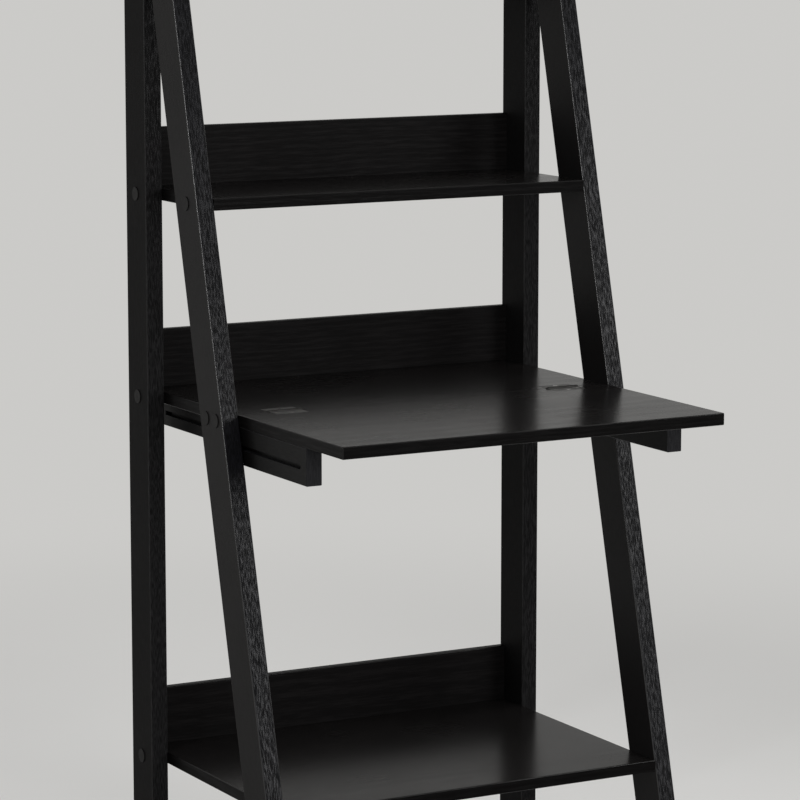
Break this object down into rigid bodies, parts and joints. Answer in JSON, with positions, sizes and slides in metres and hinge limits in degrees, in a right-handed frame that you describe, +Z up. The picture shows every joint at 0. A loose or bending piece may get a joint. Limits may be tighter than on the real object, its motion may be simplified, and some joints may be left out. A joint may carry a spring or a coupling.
{
  "type": "ladder desk",
  "caption": "Ladder desk: leaning side frames with open shelves and a hinged fall flap that opens onto pull-out support arms.",
  "frame": {"origin": "on the floor, midway between the sides and midway between the posts' back and the lowered flap's front edge", "axes": "+X to the user's right, +Y towards the wall behind the desk, +Z up"},
  "size_m": [0.6558, 0.6134, 1.68],
  "materials": {
    "black_wood_foil": "black-brown wood-grain foil, satin, grain along each board",
    "black_plastic": "satin moulded black",
    "hinge_steel": "satin nickel plate",
    "zinc_steel": "bright zinc plate",
    "beech_dowel": "raw beech",
    "peg_nylon": "black nylon"
  },
  "bodies": {
    "frame": {"rear_post_left": "black_wood_foil", "rear_post_right": "black_wood_foil", "front_leg_left": "black_wood_foil", "front_leg_right": "black_wood_foil", "lower_shelf": "black_wood_foil", "lower_back_panel": "black_wood_foil", "desk_shelf": "black_wood_foil", "desk_back_panel": "black_wood_foil", "upper_shelf": "black_wood_foil", "upper_back_panel": "black_wood_foil", "top_shelf": "black_wood_foil", "top_back_panel": "black_wood_foil", "arm_rail_left": "black_wood_foil", "arm_rail_right": "black_wood_foil", "rear_foot_glide_left": "black_plastic", "rear_foot_glide_right": "black_plastic", "front_foot_glide_left": "black_plastic", "front_foot_glide_right": "black_plastic", "hinge_fixed_leaf_left": "hinge_steel", "hinge_fixed_leaf_right": "hinge_steel", "hinge_pin_left": "hinge_steel", "hinge_pin_right": "hinge_steel", "hinge_fixed_screws": "hinge_steel", "frame_bolts_left": "zinc_steel", "frame_bolts_right": "zinc_steel", "barrel_nuts_left": "zinc_steel", "barrel_nuts_right": "zinc_steel", "dowels_left": "beech_dowel", "dowels_right": "beech_dowel", "bolt_caps_left": "black_plastic", "bolt_caps_right": "black_plastic", "panel_screws": "zinc_steel", "rail_screws": "zinc_steel", "frame_screws": "zinc_steel", "arm_stop_peg_left": "peg_nylon", "arm_stop_peg_right": "peg_nylon"},
    "flap": {"desk_flap": "black_wood_foil", "hinge_moving_leaf_left": "hinge_steel", "hinge_moving_leaf_right": "hinge_steel", "hinge_moving_screws": "hinge_steel"},
    "arm_left": {"support_arm_left": "black_wood_foil", "arm_guide_pegs_left": "peg_nylon"},
    "arm_right": {"support_arm_right": "black_wood_foil", "arm_guide_pegs_right": "peg_nylon"}
  },
  "joints": [
    {"name": "flap_hinge", "type": "hinge", "parent": "frame", "child": "flap", "pos_m": [0, 0.00526, 0.76], "axis": [-1, 0, 0], "range_deg": [0, 102]},
    {"name": "arm_left_slide", "type": "slide", "parent": "frame", "child": "arm_left", "axis": [0, 1, 0], "range_m": [0, 0.2]},
    {"name": "arm_right_slide", "type": "slide", "parent": "frame", "child": "arm_right", "axis": [0, 1, 0], "range_m": [0, 0.2]}
  ]
}
